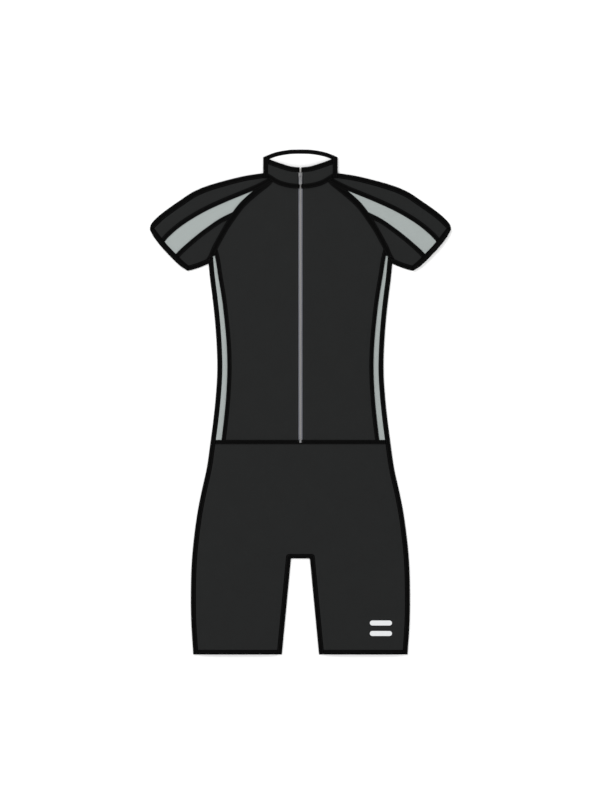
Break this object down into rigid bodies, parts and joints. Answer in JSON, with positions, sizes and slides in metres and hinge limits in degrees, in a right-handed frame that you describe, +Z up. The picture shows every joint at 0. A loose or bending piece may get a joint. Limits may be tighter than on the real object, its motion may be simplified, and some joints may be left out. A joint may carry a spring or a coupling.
{
  "type": "short-sleeved unitard",
  "caption": "Charcoal one-piece sports suit laid flat: stand collar, front zip, raglan sleeves with grey stripes, short legs.",
  "frame": {"origin": "on the surface under the garment, half way along it and on the line of the zip", "axes": "+Y up to the collar, +X to the wearer's left, +Z up out of the front"},
  "size_m": [0.6322, 1.06, 0.0119],
  "materials": {
    "charcoal_knit": "matt warp-knit stretch cloth",
    "grey_knit": "matt warp-knit stretch cloth",
    "white_facing": "soft brushed knit",
    "black_tape": "matt knitted seam tape",
    "zip_tape": "woven tape",
    "zip_teeth": "satin moulded teeth",
    "slider_metal": "dark nickel",
    "reflective": "reflective film"
  },
  "bodies": {
    "garment": {"body_front_left": "charcoal_knit", "body_front_right": "charcoal_knit", "sleeve_top_left": "charcoal_knit", "sleeve_top_right": "charcoal_knit", "sleeve_under_left": "charcoal_knit", "sleeve_under_right": "charcoal_knit", "shorts_front": "charcoal_knit", "collar_front_left": "charcoal_knit", "collar_front_right": "charcoal_knit", "body_back": "charcoal_knit", "sleeve_back_left": "charcoal_knit", "sleeve_back_right": "charcoal_knit", "shorts_back": "charcoal_knit", "collar_back": "charcoal_knit", "side_stripe_left": "grey_knit", "side_stripe_right": "grey_knit", "sleeve_stripe_left": "grey_knit", "sleeve_stripe_right": "grey_knit", "collar_facing": "white_facing", "shoulder_seam_left": "black_tape", "shoulder_seam_right": "black_tape", "underarm_seam_left": "black_tape", "underarm_seam_right": "black_tape", "side_seam_left": "black_tape", "side_seam_right": "black_tape", "collar_side_left": "black_tape", "collar_side_right": "black_tape", "inseam": "black_tape", "collar_tape_left": "black_tape", "collar_tape_right": "black_tape", "stripe_upper_tape_left": "black_tape", "stripe_upper_tape_right": "black_tape", "raglan_tape_left": "black_tape", "raglan_tape_right": "black_tape", "stripe_lower_tape_left": "black_tape", "stripe_lower_tape_right": "black_tape", "side_tape_left": "black_tape", "side_tape_right": "black_tape", "waist_tape": "black_tape", "cuff_left": "black_tape", "cuff_right": "black_tape", "leg_hem_left": "black_tape", "leg_hem_right": "black_tape", "collar_binding_left": "black_tape", "collar_binding_right": "black_tape", "collar_binding_back": "black_tape", "zip_tape_left": "zip_tape", "zip_tape_right": "zip_tape", "zip_chain": "zip_teeth", "zip_stop": "zip_teeth", "zip_foot_stop": "slider_metal", "zip_slider": "slider_metal", "reflector_lower": "reflective", "reflector_upper": "reflective"},
    "pull_tab": {"zip_pull": "slider_metal"}
  },
  "joints": [
    {"name": "pull_tab_hinge", "type": "hinge", "parent": "garment", "child": "pull_tab", "pos_m": [0, 0.4755, 0.0097], "axis": [-1, 0, 0], "range_deg": [0, 160]}
  ]
}
